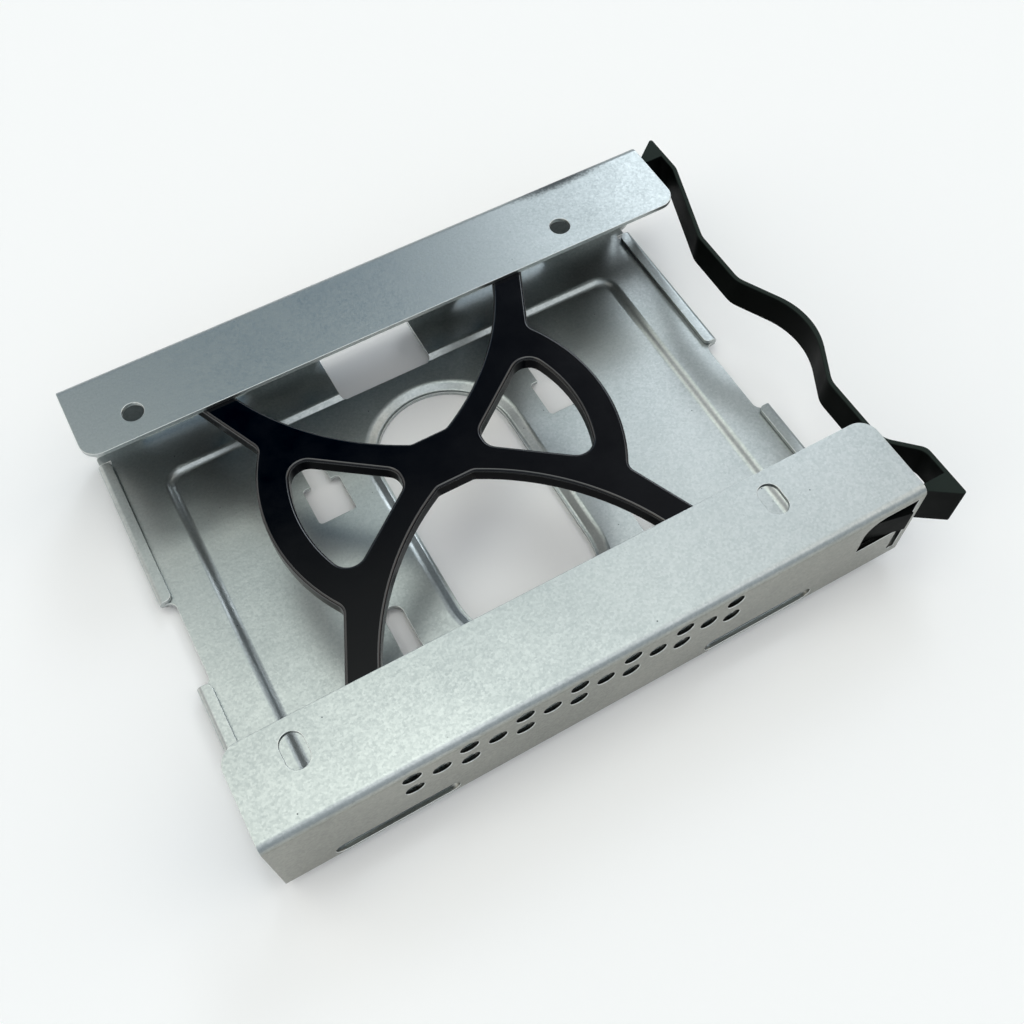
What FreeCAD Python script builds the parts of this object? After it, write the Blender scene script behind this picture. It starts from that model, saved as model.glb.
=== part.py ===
import FreeCAD, Part
import math
import os

Vec = FreeCAD.Vector

# Every x and y is measured from the centre of the four drive holes, z from the lowest face.
# The tray is open upwards. Its flanges run along x, and the handle stands at the +x end.

# Steel sheet
sheet = 0.8
bend_inner = 0.7

# Drive holes in the flanges: round at the rear, slotted at the front
hole_pitch_x = 76.6
hole_pitch_y = 61.72
hole_dia = 3.5
slot_travel = 2.0

# Folded channel
tray_left = 47.7
tray_right = 59.0
tray_width = 82.0
tray_height = 19.3
flange_margin = 4.86
flange_corner = 3.0
wall_end_chamfer = 1.0

# Floor edges and their hems, which are folded flat onto the floor
hem_width = 2.3
hem_gap = 0.1
hem_corner = 1.0
hem_inner_end = 8.0
hem_outer_end = 37.4
hem_relief = 0.6
floor_left = 45.7
floor_right = 55.6
floor_shoulder = 1.6
notch_round = 1.5

# Pressed floor panel
panel_left = 38.5
panel_right = 48.6
panel_half_y = 30.7
panel_depth = 0.7
panel_corner = 3.0
step_run = 1.0

# Long round-ended opening with a drawn lip
opening_x = 5.7
opening_y = -0.8
opening_half_width = 12.0
opening_half_length = 25.2
lip_depth = 0.8
lip_slope = 1.5
lip_land = 0.5

# Keyholes at the rear of the floor and plain slots at the front
keyhole_pitch = 44.0
keyhole_head_width = 6.6
keyhole_head_length = 7.3
keyhole_neck_width = 3.6
keyhole_neck_length = 7.0
keyhole_start = 9.4
keyhole_round = 0.6
floor_slot_width = 3.3
floor_slot_length = 14.0
floor_slot_start = 9.7

# Window across the rear bend
rear_window_x = 2.9
rear_window_width = 17.5
rear_window_set_in = 0.6
rear_window_rise = 4.0
rear_window_round = 1.0

# Vents and rail slots in the walls
vent_dia = 2.9
vent_pitch = 8.62
vent_pairs = 7
vent_centre_x = -0.55
vent_drop = 5.3
vent_spread = 4.7
rail_slot_x = 1.0
rail_slot_pitch = 61.6
rail_slot_length = 19.6
rail_slot_height = 3.0
rail_slot_drop = 16.2

# Window at the handle end of each wall
clip_window_length = 9.2
clip_window_top = 1.9
clip_window_height = 8.2
clip_window_round = 3.5
clip_slit_width = 1.4
clip_slit_height = 6.2
end_strip = 1.15

# Cross brace
brace_x = -0.35
brace_y = 0.2
brace_thickness = 2.6
brace_ring = 28.2
brace_ring_band = 5.0
brace_junction_y = 15.3
brace_hub_flat = 3.0
brace_hub_half = 4.5
brace_crotch_radius = 45.0
brace_arm_lean = 66.0
brace_arm_width = 5.0
brace_window_angle = 37.0
brace_window_side = 3.1
brace_window_tip = 7.1
brace_tip_round = 2.5
brace_window_round = 2.7
brace_hub_round = 1.6
brace_junction_round = 1.8
brace_edge = 0.3
brace_end_gap = 0.3

# Pull handle
handle_drop = 3.0
strip_height = 5.9
strip_thickness = 0.8
strip_bend = 4.0
front_knee = 2.0
rear_reach = 6.0
rear_straight = 8.6
rear_flare = 15.8
rear_run_gap = 0.9
front_reach = 6.6
front_straight = 9.6
front_flare = 4.9
front_run_gap = 1.6
bump_rear = 8.2
bump_front = 16.6
bump_y = -4.5
bump_point = 7.7
bump_round = 13.0
ear_overhang = 2.5
ear_height = 8.2
ear_neck = 1.5
ear_tip_round = 0.4
leg_thickness = 1.25
leg_length = 12.0
leg_clearance = 0.25
lug_length = 7.2
lug_drop = 1.8
lug_height = 5.1
lug_bite = 1.5
lug_clearance = 0.3

# Levels above the lowest face
floor_under = panel_depth + lip_depth
floor_top = floor_under + sheet
panel_top = floor_top - panel_depth
lip_top = panel_top - lip_depth
flange_top = floor_under + tray_height
flange_under = flange_top - sheet

# Faces that several pieces share
wall_out = tray_width / 2
wall_in = wall_out - sheet
bend_line = wall_in - bend_inner
half_mouth = hole_pitch_y / 2 - flange_margin
clip_window_right = tray_right - end_strip
handle_end = tray_right + max(rear_reach, front_reach)


def prism(points, low, high):
    ring = [Vec(x, y, low) for x, y in points]
    ring.append(ring[0])
    return Part.Face(Part.makePolygon(ring)).extrude(Vec(0, 0, high - low))


def block(x0, x1, y0, y1, low, high):
    return Part.makeBox(x1 - x0, y1 - y0, high - low, Vec(x0, y0, low))


def upright_edges(solid, places):
    """Upright edges that stand on the given x, y places."""
    found = []
    for edge in solid.Edges:
        low, high = edge.Vertexes[0].Point, edge.Vertexes[-1].Point
        upright = abs(low.x - high.x) < 1e-6 and abs(low.y - high.y) < 1e-6
        near = any(abs(low.x - x) < 1e-4 and abs(low.y - y) < 1e-4 for x, y in places)
        if upright and near:
            found.append(edge)
    return found


def round_upright(solid, radius, places):
    return solid.makeFillet(radius, upright_edges(solid, places))


def mirrored(solid, axis):
    return solid.mirror(Vec(0, 0, 0), axis)


def both_walls(cutter):
    """A cutter for the front wall and its mirror image for the rear wall."""
    return [cutter, mirrored(cutter, Vec(0, 1, 0))]


def rounded_rectangle(x0, x1, y0, y1, radius, z):
    arc_in = radius * (1 - math.sqrt(0.5))
    edges = []
    corners = [(x1, y1, 1, 1), (x0, y1, -1, 1), (x0, y0, -1, -1), (x1, y0, 1, -1)]
    ends = []
    for x, y, side_x, side_y in corners:
        on_side = Vec(x, y - side_y * radius, z)
        on_end = Vec(x - side_x * radius, y, z)
        middle = Vec(x - side_x * arc_in, y - side_y * arc_in, z)
        start, stop = (on_side, on_end) if side_x == side_y else (on_end, on_side)
        edges.append(Part.Arc(start, middle, stop).toShape())
        ends.append((start, stop))
    for index, (start, stop) in enumerate(ends):
        following = ends[(index + 1) % len(ends)][0]
        edges.append(Part.makeLine(stop, following))
    return Part.Wire(Part.__sortEdges__(edges))


def stadium(x, y, half_width, half_length, z):
    """Round-ended outline, long in y."""
    straight = half_length - half_width
    right_low, right_high = Vec(x + half_width, y - straight, z), Vec(x + half_width, y + straight, z)
    left_low, left_high = Vec(x - half_width, y - straight, z), Vec(x - half_width, y + straight, z)
    top, bottom = Vec(x, y + half_length, z), Vec(x, y - half_length, z)
    return Part.Wire([
        Part.makeLine(right_low, right_high),
        Part.Arc(right_high, top, left_high).toShape(),
        Part.makeLine(left_high, left_low),
        Part.Arc(left_low, bottom, right_low).toShape(),
    ])


def pressed(solid, outline, high, depth):
    """Press the sheet down by depth inside an outline; outline(inset, z) gives its wire."""
    dent = Part.makeLoft([outline(0, high), outline(1, high - depth)], True)
    bulge = dent.translated(Vec(0, 0, -sheet))
    return solid.fuse(bulge).cut(dent)


def channel():
    """Floor, two walls and two flanges of one sheet, with round bends."""
    length = tray_left + tray_right
    outer = block(-tray_left, tray_right, -wall_out, wall_out, floor_under, flange_top)
    inner = block(-tray_left, tray_right, -wall_in, wall_in, floor_top, flange_under)
    along_x = [edge for edge in outer.Edges if abs(edge.Length - length) < 1e-6]
    outer = outer.makeFillet(bend_inner + sheet, along_x)
    along_x = [edge for edge in inner.Edges if abs(edge.Length - length) < 1e-6]
    inner = inner.makeFillet(bend_inner, along_x)
    mouth = block(-tray_left, tray_right, -half_mouth, half_mouth, flange_under - bend_inner, flange_top)
    folded = outer.cut(inner).cut(mouth)
    corners = [(x, side * half_mouth) for x in (-tray_left, tray_right) for side in (-1, 1)]
    return round_upright(folded, flange_corner, corners)


def trim_floor(folded):
    """Set the floor's end edges in, so the hems and the notch between them have room."""
    low, high = floor_under - sheet, floor_top + sheet / 2
    half = hem_outer_end + hem_relief
    shoulder = floor_right + floor_shoulder
    cutters = [block(-tray_left - sheet, -floor_left, -half, half, low, high)]
    cutters.append(block(floor_right, tray_right + sheet, -half, half, low, high))
    cutters.append(block(shoulder, tray_right + sheet, -bend_line, bend_line, low, high))
    for end, inward in ((-tray_left, 1), (tray_right, -1)):
        tip = Vec(end, -wall_out, floor_under)
        along, up = tip + Vec(inward * wall_end_chamfer, 0, 0), tip + Vec(0, 0, wall_end_chamfer)
        wedge = Part.Face(Part.makePolygon([tip, along, up, tip]))
        cutters += both_walls(wedge.extrude(Vec(0, sheet + bend_inner, 0)))
    return folded.cut(cutters)


def hem(edge, fold_out, y0, y1):
    """One hem beside the floor edge at x = edge; fold_out is -1 at the left end and 1 at the right."""
    fold = sheet + hem_gap / 2
    flap_top = floor_top + hem_gap + sheet
    outer = edge + fold_out * hem_width
    centre = outer - fold_out * fold
    root = edge - fold_out * sheet
    under, over = Vec(centre, y0, floor_under), Vec(centre, y0, flap_top)
    nose = Part.Arc(under, Vec(outer, y0, floor_under + fold), over).toShape()
    points = [over, Vec(edge, y0, flap_top), Vec(edge, y0, floor_top + hem_gap)]
    points += [Vec(centre, y0, floor_top + hem_gap), Vec(centre, y0, floor_top)]
    points += [Vec(root, y0, floor_top), Vec(root, y0, floor_under), under]
    rest = [Part.makeLine(start, stop) for start, stop in zip(points, points[1:])]
    folded = Part.Face(Part.Wire([nose] + rest)).extrude(Vec(0, y1 - y0, 0))
    flap_ends = [item for item in upright_edges(folded, [(edge, y0), (edge, y1)])]
    flap_ends = [item for item in flap_ends if item.BoundBox.ZMax > flap_top - 1e-6]
    return folded.makeFillet(hem_corner, flap_ends)


def add_hems(folded):
    hems = []
    for edge, fold_out in ((-floor_left, -1), (floor_right, 1)):
        hems.append(hem(edge, fold_out, hem_inner_end, hem_outer_end))
        hems.append(hem(edge, fold_out, -hem_outer_end, -hem_inner_end))
    for edge, fold_out in ((-floor_left, -1), (floor_right, 1)):
        for side in (-1, 1):
            hems.append(notch_corner(edge, fold_out, side))
    return folded.fuse(hems)


def notch_corner(edge, fold_out, side):
    """Quarter-round web of floor where the notch between two hems meets a hem."""
    far = edge + fold_out * notch_round
    end = side * hem_inner_end
    near = end - side * notch_round
    low_x, high_x = sorted((edge, far))
    low_y, high_y = sorted((near, end))
    web = block(low_x, high_x, low_y, high_y, floor_under, floor_top)
    return web.cut(Part.makeCylinder(notch_round, sheet, Vec(far, near, floor_under)))


def press_floor(folded):
    def panel_outline(inset, z):
        grow = step_run / 2 - inset * step_run
        return rounded_rectangle(
            -panel_left - grow, panel_right + grow, -panel_half_y - grow, panel_half_y + grow,
            panel_corner + grow, z)

    def lip_outline(inset, z):
        grow = lip_land + lip_slope - inset * lip_slope
        return stadium(opening_x, opening_y, opening_half_width + grow, opening_half_length + grow, z)

    folded = pressed(folded, panel_outline, floor_top, panel_depth)
    return pressed(folded, lip_outline, panel_top, lip_depth)


def keyhole(x):
    head_end = keyhole_start + keyhole_head_length
    half_head = keyhole_head_width / 2
    head = block(x - half_head, x + half_head, keyhole_start, head_end, 0, floor_top)
    places = [(x + side * half_head, y) for side in (-1, 1) for y in (keyhole_start, head_end)]
    head = round_upright(head, keyhole_round, places)
    half_neck = keyhole_neck_width / 2
    half_length = keyhole_neck_length / 2 + half_neck
    neck = Part.Face(stadium(x, head_end + keyhole_neck_length / 2, half_neck, half_length, 0))
    return head.fuse(neck.extrude(Vec(0, 0, floor_top)))


def floor_cutters():
    through = Vec(0, 0, floor_top)
    opening = stadium(opening_x, opening_y, opening_half_width, opening_half_length, 0)
    cutters = [Part.Face(opening).extrude(through)]
    for side in (-1, 1):
        x = opening_x + side * keyhole_pitch / 2
        cutters.append(keyhole(x))
        centre_y = -floor_slot_start - floor_slot_length / 2
        slot = stadium(x, centre_y, floor_slot_width / 2, floor_slot_length / 2, 0)
        cutters.append(Part.Face(slot).extrude(through))
    left, right = rear_window_x - rear_window_width / 2, rear_window_x + rear_window_width / 2
    front = panel_half_y - rear_window_set_in
    window = block(left, right, front, wall_out + sheet, 0, floor_top + rear_window_rise)
    cutters.append(round_upright(window, rear_window_round, [(left, front), (right, front)]))
    return cutters


def flange_cutters():
    cutters = []
    for side in (-1, 1):
        x = side * hole_pitch_x / 2
        spot = Vec(x, hole_pitch_y / 2, flange_under)
        cutters.append(Part.makeCylinder(hole_dia / 2, sheet, spot))
        slot = stadium(x, -hole_pitch_y / 2, hole_dia / 2, (hole_dia + slot_travel) / 2, flange_under)
        cutters.append(Part.Face(slot).extrude(Vec(0, 0, sheet)))
    return cutters


def wall_prism(wire):
    """Push an outline drawn on the front wall's outer face through that wall."""
    return Part.Face(wire).extrude(Vec(0, sheet, 0))


def vent(x, z):
    return Part.makeCylinder(vent_dia / 2, sheet, Vec(x, -wall_out, z), Vec(0, 1, 0))


def rail_slot(x):
    radius = rail_slot_height / 2
    half = rail_slot_length / 2 - radius
    z = flange_top - rail_slot_drop
    left_low, left_high = Vec(x - half, -wall_out, z - radius), Vec(x - half, -wall_out, z + radius)
    right_low, right_high = Vec(x + half, -wall_out, z - radius), Vec(x + half, -wall_out, z + radius)
    return wall_prism(Part.Wire([
        Part.makeLine(left_low, right_low),
        Part.Arc(right_low, Vec(x + half + radius, -wall_out, z), right_high).toShape(),
        Part.makeLine(right_high, left_high),
        Part.Arc(left_high, Vec(x - half - radius, -wall_out, z), left_low).toShape(),
    ]))


def clip_window():
    """Window with one round corner, and a slit that leaves a narrow strip at the wall's end."""
    left, right = clip_window_right - clip_window_length, clip_window_right
    high = flange_top - clip_window_top
    low = high - clip_window_height
    foot = low - clip_slit_height
    inset = clip_window_round * (1 - math.sqrt(0.5))
    outline = [(left + clip_window_round, high), (right, high), (right, foot)]
    outline += [(right - clip_slit_width, foot), (right - clip_slit_width, low), (left, low)]
    outline += [(left, high - clip_window_round)]
    points = [Vec(x, -wall_out, z) for x, z in outline]
    edges = [Part.makeLine(start, stop) for start, stop in zip(points, points[1:])]
    corner = Vec(left + inset, -wall_out, high - inset)
    edges.append(Part.Arc(points[-1], corner, points[0]).toShape())
    return wall_prism(Part.Wire(edges))


def wall_cutters():
    cutters = [clip_window()]
    middle = (vent_pairs - 1) / 2
    for index in range(vent_pairs):
        x = vent_centre_x + (index - middle) * vent_pitch
        for side in (-1, 1):
            cutters.append(vent(x, flange_top - vent_drop + side * vent_spread / 2))
        if index < vent_pairs - 1:
            cutters.append(vent(x + vent_pitch / 2, flange_top - vent_drop))
    for side in (-1, 1):
        cutters.append(rail_slot(rail_slot_x + side * rail_slot_pitch / 2))
    return [copy for cutter in cutters for copy in both_walls(cutter)]


def make_tray():
    tray = press_floor(add_hems(trim_floor(channel())))
    tray = tray.cut(floor_cutters() + flange_cutters() + wall_cutters())
    return tray.removeSplitter()


def brace_quarter():
    """One quarter of the brace's outline: hub, one arm out to the wall, and the ring beside it."""
    lean = math.radians(brace_arm_lean)
    along = Vec(math.cos(lean), math.sin(lean), 0)
    across = Vec(-along.y, along.x, 0)
    end_y = bend_line - brace_end_gap - abs(brace_y)
    junction = Vec(math.sqrt(brace_ring ** 2 - brace_junction_y ** 2), brace_junction_y, 0)
    outer_end = junction + along * ((end_y - junction.y) / along.y)
    inner_end = outer_end - Vec(brace_arm_width / along.y, 0, 0)
    hub = Vec(brace_hub_flat, brace_hub_half, 0)
    # The crotch is an arc from the hub's corner that runs smoothly into the arm's inner edge.
    back, aside = (hub - inner_end).dot(along), (hub - inner_end).dot(across)
    reach = back + math.sqrt(aside * (2 * brace_crotch_radius - aside))
    neck = inner_end + along * reach
    centre_of_arc = neck + across * brace_crotch_radius
    toward = ((hub + neck) * 0.5 - centre_of_arc).normalize()
    middle = centre_of_arc + toward * brace_crotch_radius
    ring_angle = math.atan2(junction.y, junction.x) / 2
    ring_middle = Vec(brace_ring * math.cos(ring_angle), brace_ring * math.sin(ring_angle), 0)
    centre, hub_top, ring_end = Vec(0, 0, 0), Vec(0, brace_hub_half, 0), Vec(brace_ring, 0, 0)
    outline = Part.Wire([
        Part.makeLine(centre, hub_top),
        Part.makeLine(hub_top, hub),
        Part.Arc(hub, middle, neck).toShape(),
        Part.makeLine(neck, inner_end),
        Part.makeLine(inner_end, outer_end),
        Part.makeLine(outer_end, junction),
        Part.Arc(junction, ring_middle, ring_end).toShape(),
        Part.makeLine(ring_end, centre),
    ])
    return Part.Face(outline), (junction, hub)


def brace_window():
    """Opening between two arms and the ring, round at its corners."""
    angle = math.radians(brace_window_angle)
    radius = brace_ring - brace_ring_band
    tip_half = brace_window_tip * math.tan(angle) - brace_window_side / math.cos(angle)
    # A side lies brace_window_side away from the line through the hub's centre at the same angle.
    along = math.sqrt(radius ** 2 - brace_window_side ** 2)
    corner_x = along * math.cos(angle) + brace_window_side * math.sin(angle)
    corner_y = along * math.sin(angle) - brace_window_side * math.cos(angle)
    low, high = Vec(corner_x, -corner_y, 0), Vec(corner_x, corner_y, 0)
    tip_low, tip_high = Vec(brace_window_tip, -tip_half, 0), Vec(brace_window_tip, tip_half, 0)
    outline = Part.Wire([
        Part.makeLine(tip_high, tip_low),
        Part.makeLine(tip_low, low),
        Part.Arc(low, Vec(radius, 0, 0), high).toShape(),
        Part.makeLine(high, tip_high),
    ])
    opening = Part.Face(outline).extrude(Vec(0, 0, brace_thickness))
    opening = round_upright(opening, brace_window_round, [(low.x, low.y), (high.x, high.y)])
    tips = [(tip_low.x, tip_low.y), (tip_high.x, tip_high.y)]
    return round_upright(opening, brace_tip_round, tips)


def make_brace():
    quarter, (junction, hub) = brace_quarter()
    solid = quarter.extrude(Vec(0, 0, brace_thickness))
    half = solid.fuse(mirrored(solid, Vec(1, 0, 0)))
    brace = half.fuse(mirrored(half, Vec(0, 1, 0))).removeSplitter()
    signs = [(sx, sy) for sx in (-1, 1) for sy in (-1, 1)]
    for corner, radius in ((junction, brace_junction_round), (hub, brace_hub_round)):
        brace = round_upright(brace, radius, [(sx * corner.x, sy * corner.y) for sx, sy in signs])
    window = brace_window()
    brace = brace.cut([window, mirrored(window, Vec(1, 0, 0))])
    brace.translate(Vec(brace_x, brace_y, flange_under - brace_thickness))
    top = [edge for edge in brace.Edges if edge.BoundBox.ZMin > flange_under - 1e-6]
    return brace.makeChamfer(brace_edge, top)


def offset_corners(points, distance):
    """Corners of the line that runs beside an open line of points, distance to its left."""
    moved = []
    for index, point in enumerate(points):
        sides = []
        if index > 0:
            sides.append((point - points[index - 1]).normalize())
        if index < len(points) - 1:
            sides.append((points[index + 1] - point).normalize())
        normals = [Vec(-side.y, side.x, 0) for side in sides]
        total = normals[0] + normals[-1]
        moved.append(point + total * (distance / (1 + normals[0].dot(normals[-1]))))
    return moved


def rounded_line(points, radii, distance):
    """Edges of a line of points with round corners, at a distance to its left."""
    corners = offset_corners(points, distance)
    edges = []
    start = corners[0]
    for before, corner, after, radius in zip(corners, corners[1:], corners[2:], radii):
        into, out = (corner - before).normalize(), (after - corner).normalize()
        turn = math.atan2(into.x * out.y - into.y * out.x, into.dot(out))
        bend = radius - math.copysign(distance, turn) if distance * turn > 0 else radius + abs(distance)
        reach = bend * math.tan(abs(turn) / 2)
        first, last = corner - into * reach, corner + out * reach
        inward = (out - into).normalize()
        middle = corner + inward * (bend / math.cos(turn / 2) - bend)
        edges.append(Part.makeLine(start, first))
        edges.append(Part.Arc(first, middle, last).toShape())
        start = last
    edges.append(Part.makeLine(start, corners[-1]))
    return edges


def handle_strip():
    """The springy strip, standing on edge and waved along y."""
    rear_face, front_face = tray_right + rear_reach, tray_right + front_reach
    rear_run, front_run = tray_right + rear_run_gap, tray_right + front_run_gap
    tip = wall_out + ear_overhang
    rear_bend, front_bend = tip - rear_straight, -tip + front_straight
    line = [(rear_face, tip - rear_straight / 2), (rear_face, rear_bend), (rear_run, rear_bend - rear_flare)]
    line += [(rear_run, bump_rear), (tray_right + bump_point, bump_y), (front_run, -bump_front)]
    line += [(front_run, front_bend + front_flare), (front_face, front_bend)]
    line += [(front_face, -tip + front_straight / 2)]
    points = [Vec(x, y, 0) for x, y in line]
    radii = [strip_bend, strip_bend, strip_bend, bump_round, strip_bend, strip_bend, front_knee]
    outer = rounded_line(points, radii, 0)
    inner = rounded_line(points, radii, -strip_thickness)
    ends = offset_corners(points, -strip_thickness)
    caps = [Part.makeLine(points[0], ends[0]), Part.makeLine(points[-1], ends[-1])]
    outline = Part.Wire(Part.__sortEdges__(outer + inner + caps))
    strip = Part.Face(outline).extrude(Vec(0, 0, strip_height))
    strip.translate(Vec(0, 0, flange_top - handle_drop - strip_height))
    return strip


def handle_ear(reach, straight):
    """Front ear: a wedge that stands out past the wall, and a leg with a snap lug inside the wall."""
    high = flange_top - handle_drop
    face = tray_right + reach
    tip = -wall_out - ear_overhang
    leg_out = -wall_in + leg_clearance
    leg_in = leg_out + leg_thickness
    inner = face - strip_thickness
    root = tip + straight - strip_bend
    leg_end = tray_right - leg_length
    outline = [(face, tip), (face, root), (inner, root), (inner, leg_in)]
    outline += [(leg_end, leg_in), (leg_end, leg_out), (tray_right + ear_neck, leg_out)]
    ear = prism(outline, high - ear_height, high)
    ear = round_upright(ear, ear_tip_round, [(face, tip)])
    catch = clip_window_right - lug_clearance
    ramp = [(catch - lug_length, leg_out), (catch, leg_out - lug_bite), (catch, leg_out)]
    lug_high = high - lug_drop
    return ear.fuse(prism(ramp, lug_high - lug_height, lug_high))


def make_handle():
    front = handle_ear(front_reach, front_straight)
    rear = mirrored(handle_ear(rear_reach, rear_straight), Vec(0, 1, 0))
    return handle_strip().fuse([front, rear]).removeSplitter()


def main():
    os.makedirs("parts", exist_ok=True)
    # The origin is the middle of the whole part's length and width, on its lowest face.
    left_end = max(tray_left, floor_left + hem_width)
    to_origin = Vec((left_end - handle_end) / 2, 0, 0)
    nodes = {"tray": make_tray(), "cross_brace": make_brace(), "pull_handle": make_handle()}
    for name, shape in nodes.items():
        shape.translate(to_origin)
        shape.exportStep("parts/" + name + ".step")
        print(name, len(shape.Solids), "solid", round(shape.Volume, 1), "mm3", shape.isValid())


main()
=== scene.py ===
import bmesh
import bpy
import math
import numpy as np
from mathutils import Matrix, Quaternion, Vector


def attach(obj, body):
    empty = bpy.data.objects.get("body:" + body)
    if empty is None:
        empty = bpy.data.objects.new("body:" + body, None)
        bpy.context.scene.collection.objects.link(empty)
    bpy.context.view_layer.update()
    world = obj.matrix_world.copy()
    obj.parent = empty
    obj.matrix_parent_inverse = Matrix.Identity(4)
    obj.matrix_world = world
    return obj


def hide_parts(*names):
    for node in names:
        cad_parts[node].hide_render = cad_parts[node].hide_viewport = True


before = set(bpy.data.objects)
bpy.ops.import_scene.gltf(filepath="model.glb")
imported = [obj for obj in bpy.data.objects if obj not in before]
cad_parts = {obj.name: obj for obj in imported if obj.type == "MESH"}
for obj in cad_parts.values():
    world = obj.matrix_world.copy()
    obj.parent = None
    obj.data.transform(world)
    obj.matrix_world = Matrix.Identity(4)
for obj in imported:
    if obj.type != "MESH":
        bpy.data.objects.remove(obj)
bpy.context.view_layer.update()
scene = bpy.context.scene
scene.view_settings.view_transform = "Standard"
mm = 0.001
mergeWithin = 0.002     # mm, corners closer than this are one
flatWithin = 0.6        # degrees, neighbours that fold less than this are one face
specksPerCell = 2       # a cell of a noise texture is about two specks wide
mixShare, mixFrom, mixTo, mixed = 0, 6, 7, 2    # sockets of a Mix node that is set to colours


def linearColour(hexCode):
    # sRGB hex to linear light, alpha 1
    parts = np.array([int(hexCode[i:i + 2], 16) for i in (1, 3, 5)]) / 255
    linear = np.where(parts <= 0.04045, parts / 12.92, ((parts + 0.055) / 1.055) ** 2.4)
    return (*linear.tolist(), 1.0)


def perMetre(sizeInMm):
    # texture scale at which one cell of the pattern is this wide
    return 1000.0 / sizeInMm


def addNode(tree, kind, props=None, values=None, links=None):
    # props are the node's own settings, values fill its sockets, links feed its sockets
    node = tree.nodes.new(kind)
    for name, value in (props or {}).items():
        setattr(node, name, value)
    for socket, value in (values or {}).items():
        node.inputs[socket].default_value = value
    for socket, source in (links or {}).items():
        tree.links.new(source, node.inputs[socket])
    return node


def newMaterial(name):
    # an empty node tree with one Principled shader on its output
    material = bpy.data.materials.new(name)
    material.use_nodes = True
    tree = material.node_tree
    tree.nodes.clear()
    shader = addNode(tree, "ShaderNodeBsdfPrincipled")
    addNode(tree, "ShaderNodeOutputMaterial", links={"Surface": shader.outputs[0]})
    return material, tree, shader


def zoneShare(tree, place, steps):
    # 1 inside a zone of the part and 0 outside, with the part's two sides alike; each step rises from
    # 0 at its first place on an axis to 1 at its second, in mm, and its result caps the next step
    apart = addNode(tree, "ShaderNodeVectorMath", {"operation": "ABSOLUTE"}, links={0: place})
    axes = addNode(tree, "ShaderNodeSeparateXYZ", links={0: apart.outputs[0]}).outputs
    links = {}
    for axis, outside, inside in steps:
        links["Value"] = axes[axis]
        step = addNode(tree, "ShaderNodeMapRange", None,
                       {"From Min": outside * mm, "From Max": inside * mm}, links)
        links = {"To Max": step.outputs[0]}
    return step.outputs[0]


def outerReach(nodeName):
    # how far the node reaches from the origin along x, y and z, in mm
    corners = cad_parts[nodeName].data.vertices
    places = np.empty(len(corners) * 3, np.float32)
    corners.foreach_get("co", places)
    return (np.abs(places.reshape(-1, 3)).max(axis=0) / mm).tolist()


def mergedCopy(nodeName, pieceName, look):
    # the node's triangles with doubles merged and flat neighbours joined, so that bevels run clean;
    # sharp outer edges are marked sharpRim, and the shallow folds of a pressing pressedBend
    shape = bmesh.new()
    shape.from_mesh(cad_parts[nodeName].data)
    bmesh.ops.remove_doubles(shape, verts=shape.verts, dist=mergeWithin * mm)
    bmesh.ops.dissolve_limit(
        shape, angle_limit=math.radians(flatWithin), verts=shape.verts, edges=shape.edges)
    bend = shape.edges.layers.float.new("pressedBend")
    rim = shape.edges.layers.float.new("sharpRim")
    for edge in shape.edges:
        fold = math.degrees(edge.calc_face_angle(0.0))
        edge[rim] = float(fold >= look["sharp"] and edge.is_convex)
        if "shallow" in look and look["shallow"] < fold < look["sharp"]:
            onLand = max(corner.co.z for corner in edge.verts) < look["landTop"] * mm
            edge[bend] = look["landShare"] if onLand else 1.0
    mesh = bpy.data.meshes.new(pieceName)
    shape.to_mesh(mesh)
    shape.free()
    mesh.polygons.foreach_set("use_smooth", np.ones(len(mesh.polygons), bool))
    piece = bpy.data.objects.new(pieceName, mesh)
    scene.collection.objects.link(piece)
    print(pieceName, len(mesh.polygons), "faces")
    return piece


def roundEdges(piece, name, mark, width, segments, material=-1):
    # a small round, its width in mm, on each edge with this mark; -1 keeps the neighbours' material
    bevel = piece.modifiers.new(name, "BEVEL")
    bevel.limit_method = "WEIGHT"
    bevel.edge_weight = mark
    bevel.width = width * mm
    bevel.segments = segments
    bevel.use_clamp_overlap = False
    bevel.material = material


def finishPiece(piece, nodeName, materials):
    # large faces stay flat beside their rounds, and the piece takes its node's place
    flatFaces = piece.modifiers.new("flatFaces", "WEIGHTED_NORMAL")
    flatFaces.mode = "FACE_AREA"
    flatFaces.weight = 90
    for material in materials:
        piece.data.materials.append(material)
    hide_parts(nodeName)
    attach(piece, "root")


wallFace, trayTop = outerReach("tray")[1:]      # outside of the walls, top of the flanges

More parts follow.
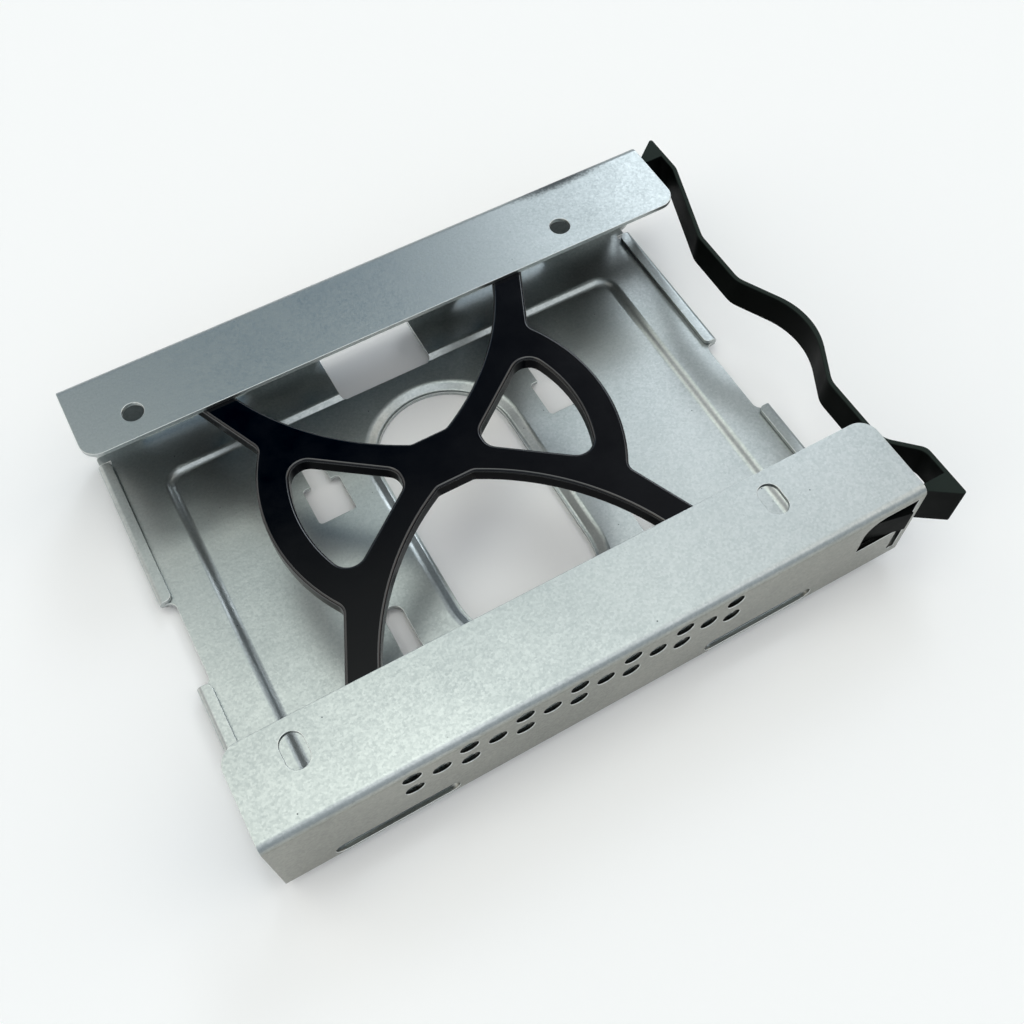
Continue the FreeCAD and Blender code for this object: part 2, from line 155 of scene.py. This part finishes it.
trayLook = dict(
    shallow=22, sharp=52,           # degrees, a pressed step folds between the two, a rim past both
    stepRound=0.5, stepSegments=4,  # mm
    landTop=0.9, landShare=0.4,     # mm, the low land round the floor opening takes a tighter bend
    rimRound=0.09, rimSegments=2,   # mm
    pale="#bcc1c0", dull="#9fa6a6",
    spangle=0.34, spangleShare=0.35,    # mm across one zinc grain, and its part in the tone
    grain=0.22, grainShare=0.4,         # mm, fine speckle inside the grains
    drift=24.0,                         # mm, slow clouding of the coating
    toneLow=0.45, toneHigh=1.2,         # sum of the three where the coat is dull, and pale
    roughLow=0.29, roughHigh=0.4,
    rollLine=0.45, rollStretch=0.02, rollShare=0.5,     # mm between rolling lines along x
    bumpStrength=0.35, bumpDepth=0.03,                  # mm
    scuff="#5f6466", scuffRough=0.2,                    # wear is darker, and rougher by this much
    speckGap=4.0, speckSize=0.14,                       # mm, stray dark specks
    speckCore=0.6,                                      # share of a speck that is fully dark
    rubCentre=(34.0, wallFace - 1.2, trayTop - 0.2),    # mm, rubbed patch on the rear bend
    rubReach=(11.0, 1.5, 1.5),                          # mm
    rubFrom=-0.45, rubTo=0.25,      # speckle less farness, where the patch begins and is full
    paintedWallShade="#d3cec6",             # painted shade: the walls' outside is drawn a little darker and warmer
    paintedWallShadeZone=[("Y", wallFace - 0.9, wallFace - 0.2), ("Z", trayTop - 0.2, trayTop - 1.2)],
    paintedInnerShade="#484a4b",             # painted shade inside the walls, above their foot and below the flanges, and in the holes through them
    paintedInnerShadeZone=[("Y", wallFace - 1.8, wallFace - 0.3), ("Y", wallFace - 0.03, wallFace - 0.15),
              ("Z", 3.5, 7.0), ("Z", trayTop - 1.5, trayTop - 1.9)],
    rim="#dfe2e0", rimRoughLow=0.22, rimRoughHigh=0.42,
    shearMark=0.5,                  # mm, drawn coarser than real so that it shows
)


def wearShare(tree, place, speckle):
    # 1 on a stray speck and in the rubbed patch, which the speckle breaks up towards its outside
    look = trayLook
    specks = addNode(tree, "ShaderNodeTexVoronoi", {"feature": "F1"},
                     {"Scale": perMetre(look["speckGap"])}, {"Vector": place})
    speckEdge = look["speckSize"] / look["speckGap"]
    speck = addNode(tree, "ShaderNodeMapRange", None,
                    {"From Min": speckEdge, "From Max": speckEdge * look["speckCore"]},
                    {"Value": specks.outputs["Distance"]})
    offset = addNode(tree, "ShaderNodeVectorMath", {"operation": "SUBTRACT"},
                     {1: [part * mm for part in look["rubCentre"]]}, {0: place})
    inReach = addNode(tree, "ShaderNodeVectorMath", {"operation": "DIVIDE"},
                      {1: [part * mm for part in look["rubReach"]]}, {0: offset.outputs[0]})
    farness = addNode(tree, "ShaderNodeVectorMath", {"operation": "LENGTH"},
                      links={0: inReach.outputs[0]})
    broken = addNode(tree, "ShaderNodeMath", {"operation": "SUBTRACT"},
                     links={0: speckle, 1: farness.outputs["Value"]})
    rub = addNode(tree, "ShaderNodeMapRange", None,
                  {"From Min": look["rubFrom"], "From Max": look["rubTo"]},
                  {"Value": broken.outputs[0]})
    wear = addNode(tree, "ShaderNodeMath", {"operation": "MAXIMUM"},
                   links={0: speck.outputs[0], 1: rub.outputs[0]})
    return wear.outputs[0]


def zincSteel():
    # galvanised sheet steel: silver-grey and softly mirrored, with a fine spangle and slow clouds
    look = trayLook
    material, tree, shader = newMaterial("zincCoatedSteel")
    place = addNode(tree, "ShaderNodeTexCoord").outputs["Object"]
    cells = addNode(tree, "ShaderNodeTexVoronoi", {"feature": "F1"},
                    {"Scale": perMetre(look["spangle"]), "Randomness": 1.0}, {"Vector": place})
    cellTone = addNode(tree, "ShaderNodeSeparateColor", links={"Color": cells.outputs["Color"]})
    speckle = addNode(tree, "ShaderNodeTexNoise", None,
                      {"Scale": perMetre(look["grain"] * specksPerCell), "Detail": 2.0},
                      {"Vector": place}).outputs["Fac"]
    cloud = addNode(tree, "ShaderNodeTexNoise", None,
                    {"Scale": perMetre(look["drift"]), "Detail": 5.0, "Roughness": 0.68},
                    {"Vector": place})
    clouded = addNode(tree, "ShaderNodeMath", {"operation": "MULTIPLY_ADD"},
                      {1: look["spangleShare"]},
                      {0: cellTone.outputs[0], 2: cloud.outputs["Fac"]})
    tone = addNode(tree, "ShaderNodeMath", {"operation": "MULTIPLY_ADD"},
                   {1: look["grainShare"]}, {0: speckle, 2: clouded.outputs[0]})
    share = addNode(tree, "ShaderNodeMapRange", None,
                    {"From Min": look["toneLow"], "From Max": look["toneHigh"]},
                    {"Value": tone.outputs[0]})
    wear = wearShare(tree, place, speckle)
    # the coat, with painted shade on the walls' outside, inside the walls and in their holes, then
    # worn
    coat = addNode(tree, "ShaderNodeMix", {"data_type": "RGBA"},
                   {mixFrom: linearColour(look["dull"]), mixTo: linearColour(look["pale"])},
                   {mixShare: share.outputs[0]})
    shadedWalls = addNode(tree, "ShaderNodeMix", {"data_type": "RGBA", "blend_type": "MULTIPLY"},
                    {mixTo: linearColour(look["paintedWallShade"])},
                    {mixShare: zoneShare(tree, place, look["paintedWallShadeZone"]),
                     mixFrom: coat.outputs[mixed]})
    innerShaded = addNode(tree, "ShaderNodeMix", {"data_type": "RGBA", "blend_type": "MULTIPLY"},
                   {mixTo: linearColour(look["paintedInnerShade"])},
                   {mixShare: zoneShare(tree, place, look["paintedInnerShadeZone"]),
                    mixFrom: shadedWalls.outputs[mixed]})
    colour = addNode(tree, "ShaderNodeMix", {"data_type": "RGBA"},
                     {mixTo: linearColour(look["scuff"])},
                     {mixShare: wear, mixFrom: innerShaded.outputs[mixed]})
    smooth = addNode(tree, "ShaderNodeMapRange", None,
                     {"To Min": look["roughHigh"], "To Max": look["roughLow"]},
                     {"Value": share.outputs[0]})
    rough = addNode(tree, "ShaderNodeMath", {"operation": "MULTIPLY_ADD"},
                    {1: look["scuffRough"]}, {0: wear, 2: smooth.outputs[0]})
    # relief of the speckle and the rolling lines
    stretch = addNode(tree, "ShaderNodeMapping", None,
                      {"Scale": (look["rollStretch"], 1.0, 1.0)}, {"Vector": place})
    rolled = addNode(tree, "ShaderNodeTexNoise", None,
                     {"Scale": perMetre(look["rollLine"] * specksPerCell), "Detail": 1.0},
                     {"Vector": stretch.outputs[0]})
    relief = addNode(tree, "ShaderNodeMath", {"operation": "MULTIPLY_ADD"},
                     {1: look["rollShare"]}, {0: rolled.outputs["Fac"], 2: speckle})
    bump = addNode(tree, "ShaderNodeBump", None,
                   {"Strength": look["bumpStrength"], "Distance": look["bumpDepth"] * mm},
                   {"Height": relief.outputs[0]})
    shader.inputs["Metallic"].default_value = 1.0
    tree.links.new(colour.outputs[mixed], shader.inputs["Base Color"])
    tree.links.new(rough.outputs[0], shader.inputs["Roughness"])
    tree.links.new(bump.outputs[0], shader.inputs["Normal"])
    return material


def cutSteel():
    # sheared steel rim: barer and brighter than the coating, with fine shear marks
    look = trayLook
    material, tree, shader = newMaterial("cutSteelRim")
    place = addNode(tree, "ShaderNodeTexCoord").outputs["Object"]
    marks = addNode(tree, "ShaderNodeTexNoise", None,
                    {"Scale": perMetre(look["shearMark"]), "Detail": 2.0}, {"Vector": place})
    colour = addNode(tree, "ShaderNodeMix", {"data_type": "RGBA"},
                     {mixFrom: linearColour(look["pale"]), mixTo: linearColour(look["rim"])},
                     {mixShare: marks.outputs["Fac"]})
    rough = addNode(tree, "ShaderNodeMapRange", None,
                    {"To Min": look["rimRoughLow"], "To Max": look["rimRoughHigh"]},
                    {"Value": marks.outputs["Fac"]})
    shader.inputs["Metallic"].default_value = 1.0
    tree.links.new(colour.outputs[mixed], shader.inputs["Base Color"])
    tree.links.new(rough.outputs[0], shader.inputs["Roughness"])
    return material


tray = mergedCopy("tray", "steelTray", trayLook)
roundEdges(tray, "pressedBends", "pressedBend", trayLook["stepRound"], trayLook["stepSegments"])
roundEdges(tray, "shearedRims", "sharpRim", trayLook["rimRound"], trayLook["rimSegments"],
           material=1)              # cut steel
finishPiece(tray, "tray", [zincSteel(), cutSteel()])
print("tray finished")


braceLook = dict(
    sharp=35,                       # degrees, a fold past this is a rim
    rimRound=0.14, rimSegments=3,   # mm
    upright=0.5,                    # a face that points up less than this is a side
    black="#010104", haze="#030409",
    smear=9.0,                      # mm across a dull smear
    smearFrom=0.3, smearTo=0.7,     # from clean plastic to the middle of a smear
    roughLow=0.13, roughHigh=0.23,
    ripple=2.2, rippleStrength=0.12, rippleDepth=0.02,  # mm, slow flow ripple of the moulding
    ior=1.5,
    # the low side gleam is painted shade, the high edge gleam paints highlight lines
    topGleam=0.12, shadedSideGleam=0.03, highlightEdgeGleam=0.9,       # specular level of each kind of face
)


def glossPlastic(name, gleam):
    # moulded high-gloss plastic: near black with a blue cast, sharp reflections, a faint ripple and
    #     smears; a low gleam makes the sides duller as painted shade, and a high one draws thin lines
    #     along the edges as painted highlights
    look = braceLook
    material, tree, shader = newMaterial(name)
    place = addNode(tree, "ShaderNodeTexCoord").outputs["Object"]
    smear = addNode(tree, "ShaderNodeTexNoise", None,
                    {"Scale": perMetre(look["smear"]), "Detail": 4.0, "Roughness": 0.65},
                    {"Vector": place})
    colour = addNode(tree, "ShaderNodeMix", {"data_type": "RGBA"},
                     {mixFrom: linearColour(look["black"]), mixTo: linearColour(look["haze"])},
                     {mixShare: smear.outputs["Fac"]})
    rough = addNode(tree, "ShaderNodeMapRange", None,
                    {"From Min": look["smearFrom"], "From Max": look["smearTo"],
                     "To Min": look["roughLow"], "To Max": look["roughHigh"]},
                    {"Value": smear.outputs["Fac"]})
    ripple = addNode(tree, "ShaderNodeTexNoise", None,
                     {"Scale": perMetre(look["ripple"]), "Detail": 1.0}, {"Vector": place})
    bump = addNode(tree, "ShaderNodeBump", None,
                   {"Strength": look["rippleStrength"], "Distance": look["rippleDepth"] * mm},
                   {"Height": ripple.outputs["Fac"]})
    shader.inputs["IOR"].default_value = look["ior"]
    shader.inputs["Specular IOR Level"].default_value = gleam
    tree.links.new(colour.outputs[mixed], shader.inputs["Base Color"])
    tree.links.new(rough.outputs[0], shader.inputs["Roughness"])
    tree.links.new(bump.outputs[0], shader.inputs["Normal"])
    return material


brace = mergedCopy("cross_brace", "plasticBrace", braceLook)
facing = np.empty(len(brace.data.polygons) * 3, np.float32)
brace.data.polygons.foreach_get("normal", facing)
# the sides take their own duller copy of the plastic, as painted shade
isShadedSide = facing.reshape(-1, 3)[:, 2] < braceLook["upright"]
brace.data.polygons.foreach_set("material_index", isShadedSide.astype(np.int32))
roundEdges(brace, "mouldedEdges", "sharpRim", braceLook["rimRound"], braceLook["rimSegments"],
           material=2)              # painted highlight lines along the edges
# the top copy, a copy with painted shade for the sides, and a copy with painted highlights for the
# edges
finishPiece(brace, "cross_brace", [
    glossPlastic("glossPlasticTop", braceLook["topGleam"]),
    glossPlastic("glossPlasticShadedSide", braceLook["shadedSideGleam"]),
    glossPlastic("glossPlasticHighlightEdge", braceLook["highlightEdgeGleam"])])
print("brace finished")


handleTop = outerReach("pull_handle")[2]

handleLook = dict(
    sharp=35,                       # degrees, a fold past this is a rim
    rimRound=0.14, rimSegments=3,   # mm
    black="#030504", worn="#080b0a",
    patch=7.0,                      # mm across a handled patch
    patchFrom=0.3, patchTo=0.7,     # from fresh plastic to the middle of a patch
    roughLow=0.42, roughHigh=0.58,
    topPale="#262d2a", topZone=[("Z", handleTop - 0.2, handleTop)],     # the top edges are paler
    grain=0.35,                     # mm, mould texture, drawn coarser than real so that it shows
    grainStrength=0.3, grainDepth=0.012,                # mm
    ior=1.5, gleam=0.03,
)


def satinPlastic():
    # moulded nylon with a fine eroded texture: satin black, a little green, paler where it is
    # handled and on top
    look = handleLook
    material, tree, shader = newMaterial("satinBlackPlastic")
    place = addNode(tree, "ShaderNodeTexCoord").outputs["Object"]
    patch = addNode(tree, "ShaderNodeTexNoise", None,
                    {"Scale": perMetre(look["patch"]), "Detail": 4.0}, {"Vector": place})
    handled = addNode(tree, "ShaderNodeMix", {"data_type": "RGBA"},
                      {mixFrom: linearColour(look["black"]), mixTo: linearColour(look["worn"])},
                      {mixShare: patch.outputs["Fac"]})
    colour = addNode(tree, "ShaderNodeMix", {"data_type": "RGBA"},
                     {mixTo: linearColour(look["topPale"])},
                     {mixShare: zoneShare(tree, place, look["topZone"]),
                      mixFrom: handled.outputs[mixed]})
    rough = addNode(tree, "ShaderNodeMapRange", None,
                    {"From Min": look["patchFrom"], "From Max": look["patchTo"],
                     "To Min": look["roughLow"], "To Max": look["roughHigh"]},
                    {"Value": patch.outputs["Fac"]})
    grain = addNode(tree, "ShaderNodeTexNoise", None,
                    {"Scale": perMetre(look["grain"] * specksPerCell), "Detail": 2.0},
                    {"Vector": place})
    bump = addNode(tree, "ShaderNodeBump", None,
                   {"Strength": look["grainStrength"], "Distance": look["grainDepth"] * mm},
                   {"Height": grain.outputs["Fac"]})
    shader.inputs["IOR"].default_value = look["ior"]
    shader.inputs["Specular IOR Level"].default_value = look["gleam"]
    tree.links.new(colour.outputs[mixed], shader.inputs["Base Color"])
    tree.links.new(rough.outputs[0], shader.inputs["Roughness"])
    tree.links.new(bump.outputs[0], shader.inputs["Normal"])
    return material


handle = mergedCopy("pull_handle", "plasticHandle", handleLook)
roundEdges(handle, "mouldedEdges", "sharpRim", handleLook["rimRound"], handleLook["rimSegments"])
finishPiece(handle, "pull_handle", [satinPlastic()])
print("handle finished")


studio = dict(
    floorSide=6.0,          # m
    floorDrop=0.02,         # mm below the part, so that no two faces share a plane
    floorColour="#fafafa",
    room="#b0b8bf",
    # soft lights of the room, and soft shades where the level is below 0; the angles are degrees,
    # the azimuth runs from +y towards +x, and a panel is full inside inner and gone past outer
    panels=[
        dict(azimuth=-4, elevation=80, inner=14, outer=22.5, level=1.55, colour="#fbfff4"),
        dict(azimuth=58, elevation=60, inner=9, outer=24, level=0.5, colour="#ffffff"),
        dict(azimuth=44, elevation=39, inner=6, outer=12.5, level=4.1, colour="#f0f8ff"),
        dict(azimuth=19, elevation=57, inner=7, outer=15, level=-0.45, colour="#ffffff"),
        dict(azimuth=5, elevation=47, inner=5, outer=18, level=-0.15, colour="#ffd8a0"),
        dict(azimuth=-6, elevation=57, inner=2, outer=12, level=-0.28, colour="#e8f2ff"),
        dict(azimuth=-68, elevation=36, inner=22, outer=46, level=1.14, colour="#fff0dc"),
        dict(azimuth=-61, elevation=39, inner=9, outer=32, level=-0.92, colour="#fff0dc"),
        dict(azimuth=104, elevation=36, inner=14, outer=32, level=0.85, colour="#fff0dc"),
        dict(azimuth=160, elevation=30, inner=18, outer=34, level=0.12, colour="#ffffff"),
        dict(azimuth=156, elevation=65, inner=6, outer=25, level=0.95, colour="#ffffff"),
        dict(azimuth=66, elevation=24, inner=14, outer=24, level=-0.33, colour="#ffffff"),
    ],
)


def towards(panel):
    # the direction of the panel's middle, one unit long
    azimuth, elevation = math.radians(panel["azimuth"]), math.radians(panel["elevation"])
    flat = math.cos(elevation)
    return Vector((flat * math.sin(azimuth), flat * math.cos(azimuth), math.sin(elevation)))


def paleFloor():
    # painted studio floor, matt white
    material, _, shader = newMaterial("mattWhiteFloor")
    shader.inputs["Base Color"].default_value = linearColour(studio["floorColour"])
    shader.inputs["Roughness"].default_value = 1.0
    shader.inputs["Specular IOR Level"].default_value = 0.0
    half = studio["floorSide"] / 2
    corners = np.array([(-1, -1), (1, -1), (1, 1), (-1, 1)]) * half
    points = np.column_stack([corners, np.full(4, -studio["floorDrop"] * mm)])
    mesh = bpy.data.meshes.new("studioFloor")
    mesh.from_pydata(points.tolist(), [], [(0, 1, 2, 3)])
    mesh.materials.append(material)
    floor = bpy.data.objects.new("studioFloor", mesh)
    scene.collection.objects.link(floor)


def softWorld():
    # a dim room with soft panels of light and shade, which the steel mirrors
    world = bpy.data.worlds.new("studioWorld")
    world.use_nodes = True
    tree = world.node_tree
    tree.nodes.clear()
    direction = addNode(tree, "ShaderNodeTexCoord").outputs["Generated"]
    light = addNode(tree, "ShaderNodeVectorMath", {"operation": "ADD"},
                    {0: linearColour(studio["room"])[:3]}).outputs[0]
    for panel in studio["panels"]:
        nearness = addNode(tree, "ShaderNodeVectorMath", {"operation": "DOT_PRODUCT"},
                           {1: towards(panel)}, {0: direction})
        share = addNode(tree, "ShaderNodeMapRange", {"interpolation_type": "SMOOTHSTEP"},
                        {"From Min": math.cos(math.radians(panel["outer"])),
                         "From Max": math.cos(math.radians(panel["inner"]))},
                        {"Value": nearness.outputs["Value"]})
        glow = [panel["level"] * part for part in linearColour(panel["colour"])[:3]]
        light = addNode(tree, "ShaderNodeVectorMath", {"operation": "MULTIPLY_ADD"},
                        {1: glow}, {0: share.outputs[0], 2: light}).outputs[0]
    back = addNode(tree, "ShaderNodeBackground", None, {"Strength": 1.0}, {"Color": light})
    addNode(tree, "ShaderNodeOutputWorld", links={"Surface": back.outputs[0]})
    scene.world = world


paleFloor()
softWorld()
print("studio lit")


shot = dict(
    place=(-42.6, -85.7, 165.4), aim=(-2.0, -8.4, 10.0),    # mm
    roll=-1.78,             # degrees
    lens=39.9, sensor=36.0,     # mm
    near=0.01, far=20.0,    # m
)


def photoCamera():
    # the camera where it was fitted to the photo
    data = bpy.data.cameras.new("photoCamera")
    data.sensor_width = shot["sensor"]
    data.lens = shot["lens"]
    data.clip_start, data.clip_end = shot["near"], shot["far"]
    camera = bpy.data.objects.new("photoCamera", data)
    place, aim = Vector(shot["place"]) * mm, Vector(shot["aim"]) * mm
    camera.location = place
    camera.rotation_mode = "QUATERNION"
    level = (aim - place).to_track_quat("-Z", "Y")
    camera.rotation_quaternion = level @ Quaternion((0, 0, 1), math.radians(shot["roll"]))
    scene.collection.objects.link(camera)
    scene.camera = camera


photoCamera()
print("camera set")
